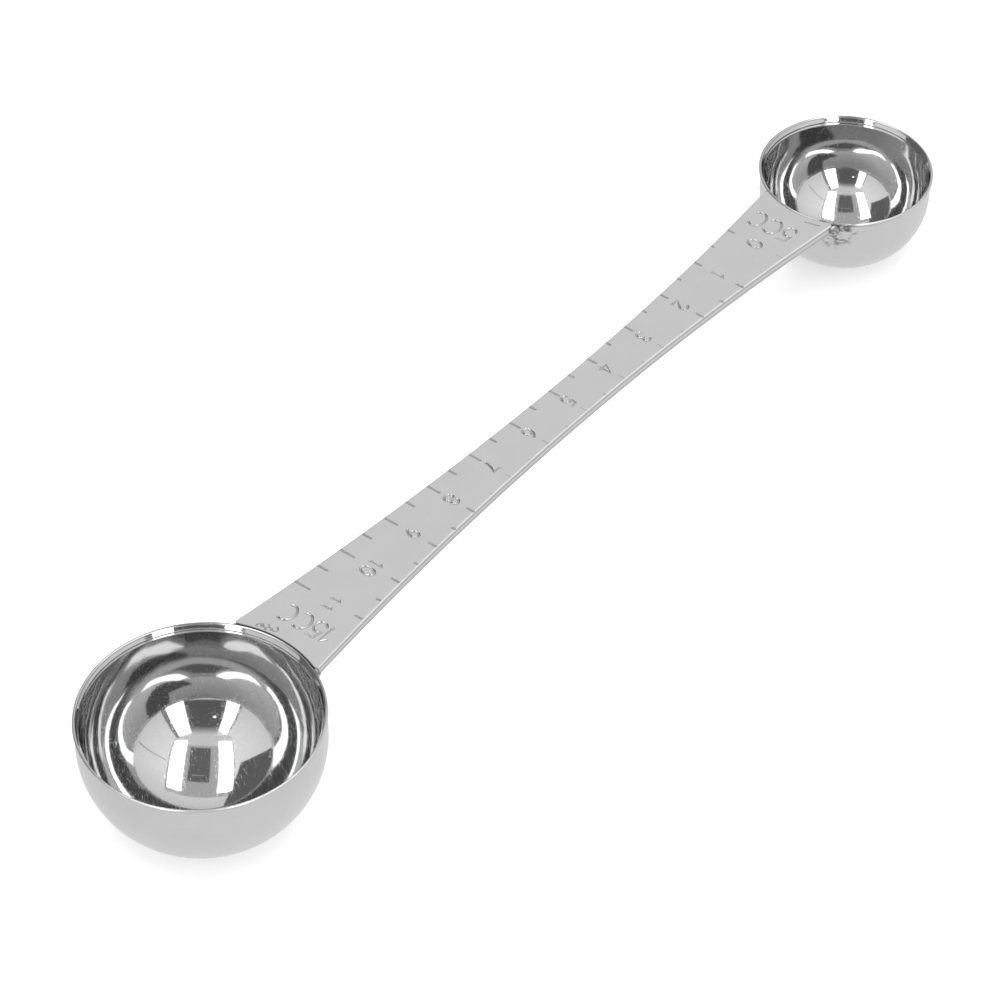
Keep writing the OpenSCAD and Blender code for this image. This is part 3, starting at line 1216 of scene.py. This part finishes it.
def card(name, corners, glow, fade=None):
    """A card that only reflections see. fade gives two heights and the glow that it has above them."""
    mesh = bpy.data.meshes.new(name)
    mesh.from_pydata([tent(*corner) for corner in corners], [], [tuple(range(len(corners)))])
    material, board = blank_material(name)
    colour = grey(glow)
    if fade:
        low, high, top_glow = fade
        height = along(board, board.node("ShaderNodeTexCoord", {}, {}, "Object"), (0, 0, 1))
        colour = grey_of(board, board.mix(board.portion(height, low * MM, high * MM), glow, top_glow))
    shader = board.node("ShaderNodeEmission", {}, {"Color": colour, "Strength": 1.0})
    board.node("ShaderNodeOutputMaterial", {}, {"Surface": shader})
    mesh.materials.append(material)
    made = add_object(name, mesh)
    made.visible_camera = False
    made.visible_diffuse = False
    made.visible_shadow = False
    made.visible_transmission = False


def ceiling_card(name, back, front, left, right, lift, glow):
    """A card under the ceiling."""
    corners = [(back, left), (back, right), (front, right), (front, left)]
    card(name, [(f, r, ceiling_h + lift) for f, r in corners], glow)


def front_card(name, left, right, low, high, glow, fade=None, lift=0):
    """A card in the front wall."""
    ahead = front_wall - lift
    corners = [(ahead, left, low), (ahead, right, low), (ahead, right, high), (ahead, left, high)]
    card(name, corners, glow, fade)


# %% Hang the cards
ceiling_card("ceiling_cloth", -760, 560, -740, 720, 12, 0.62)
ceiling_card("ceiling_front", 560, front_wall, -740, 720, 12, 0.92)
ceiling_card("dark_frame", -305, 510, -195, 244, 6, 0.19)
ceiling_card("light_slit", -146, -128, -90, 170, 3, 0.55)
front_card("camera_gap", -349, 287, 340, ceiling_h, 0.15, (1050, 1420, 0.85))
front_card("left_frame", -640, -560, 100, 1226, 0.4)
ceiling_card("box_border_right", -640, 694, 682, 722, 4, 0.42)
ceiling_card("box_border_left", -636, 684, -740, -709, 4, 0.42)
seam = [(129, 445, 300), (121, 445, 300), (66, 445, 900), (74, 445, 900)]
card("tent_seam", seam, 0.15)
outer = [(770, 538, 100), (690, 590, 100), (690, 590, 1400), (770, 538, 1400)]
card("right_frame", outer, 0.3)
front_card("view_window", -211, -175, 708, 744, 6, None, 2)
wedge = [(85, -894), (-420, -715), (-1000, -586), (-1800, -586), (-1800, -2500), (250, -2500)]
card("dark_corner", [(f, r, ceiling_h + 10) for f, r in wedge], 0.17)
side_wall = [(250, -2500, -50), (250, -2500, 1530), (-1800, -2500, 1530), (-1800, -2500, -50)]
card("dark_wall", side_wall, 0.17)

# %% [markdown]
# ## Cloth all round and paper below
# The tent's cloth is far away and plain, so the world stands for it, a little
# brighter above. The scoop stands on white paper. A lamp strong enough to make
# that paper white would burn out the steel, so the paper glows a little for the
# camera and the reflections, and its own white still takes the scoop's shadow.

# %% World
cloth_glow = 0.75
cloth_rise = 0.5


def tent_world():
    """Pale cloth all round, dimmer at the back. The camera sees white."""
    world = bpy.data.worlds.new("tent")
    bpy.context.scene.world = world
    world.use_nodes = True
    world.node_tree.nodes.clear()
    board = Board(world.node_tree)
    camera_ray = board.node("ShaderNodeLightPath", {}, {}, "Is Camera Ray")
    direction = board.node("ShaderNodeTexCoord", {}, {}, "Generated")
    cloth = cloth_glow + along(board, direction, (0, 0, cloth_rise))
    cloth = cloth * (1 - board.portion(along(board, direction, forward), -0.1, -0.7) * 0.22)
    level = board.mix(camera_ray, cloth, 1.0)
    shader = board.node("ShaderNodeBackground", {}, {"Color": grey_of(board, level), "Strength": 1.0})
    board.node("ShaderNodeOutputWorld", {}, {"Surface": shader})
    print("world:", world.name)


tent_world()

# %% Floor
floor_half = 2.5
paper_grey = 0.8
paper_glow = 0.3
mirrored_glow = 0.97


def floor_material():
    """White paper: the camera and reflections see it white, and it keeps the shadow."""
    material, board = blank_material("white_paper")
    camera = board.node("ShaderNodeLightPath", {}, {}, "Is Camera Ray")
    glossy = board.node("ShaderNodeLightPath", {}, {}, "Is Glossy Ray")
    through = board.node("ShaderNodeLightPath", {}, {}, "Is Transmission Ray")
    paper = board.node("ShaderNodeBsdfDiffuse", {}, {"Color": grey(paper_grey)})
    glow = board.node("ShaderNodeEmission", {}, {"Color": grey(1.0), "Strength": camera * paper_glow})
    lit = board.node("ShaderNodeAddShader", {}, {0: paper, 1: glow})
    even = board.node("ShaderNodeEmission", {}, {"Color": grey(mirrored_glow), "Strength": 1.0})
    mirrored = board.math("ADD", glossy, through, clamp=True)
    lit = board.node("ShaderNodeMixShader", {}, {0: mirrored, 1: lit, 2: even})
    # Seen from below, the paper is clear
    back = board.node("ShaderNodeNewGeometry", {}, {}, "Backfacing")
    clear = board.node("ShaderNodeBsdfTransparent")
    shader = board.node("ShaderNodeMixShader", {}, {0: back, 1: lit, 2: clear})
    board.node("ShaderNodeOutputMaterial", {}, {"Surface": shader})
    return material


floor_corners = [(-1, -1), (1, -1), (1, 1), (-1, 1)]
floor_mesh = bpy.data.meshes.new("paper")
floor_mesh.from_pydata([(x * floor_half, y * floor_half, 0) for x, y in floor_corners], [], [(0, 1, 2, 3)])
floor_mesh.materials.append(floor_material())
add_object("paper", floor_mesh)
print("paper", 2 * floor_half, "m wide")

# %% [markdown]
# ## The camera
# The place and turn of the camera come from a fit to the rule's marks, the
# handle's edges and both rims, so the render lies over the photograph.

# %% Camera
camera_data = bpy.data.cameras.new("camera")
camera_data.sensor_width = 36
camera_data.lens = 239.2225
camera_data.clip_start = 0.05
camera_data.clip_end = 50
camera = add_object("camera", camera_data)
camera.location = (0.594284, 0.476536, 0.753253)
camera.rotation_euler = [math.radians(a) for a in (45.531302, 0.614748, 128.465207)]
bpy.context.scene.camera = camera
print("camera", round(camera.location.length, 2), "m from the scoop")

# %% [markdown]
# ## Last settings
# Light bounces many times between the walls of a polished bowl, so rays may follow
# it further than usual.

# %% Render settings
bpy.context.scene.view_settings.view_transform = "Standard"
bpy.context.scene.cycles.max_bounces = 16
bpy.context.scene.cycles.glossy_bounces = 14
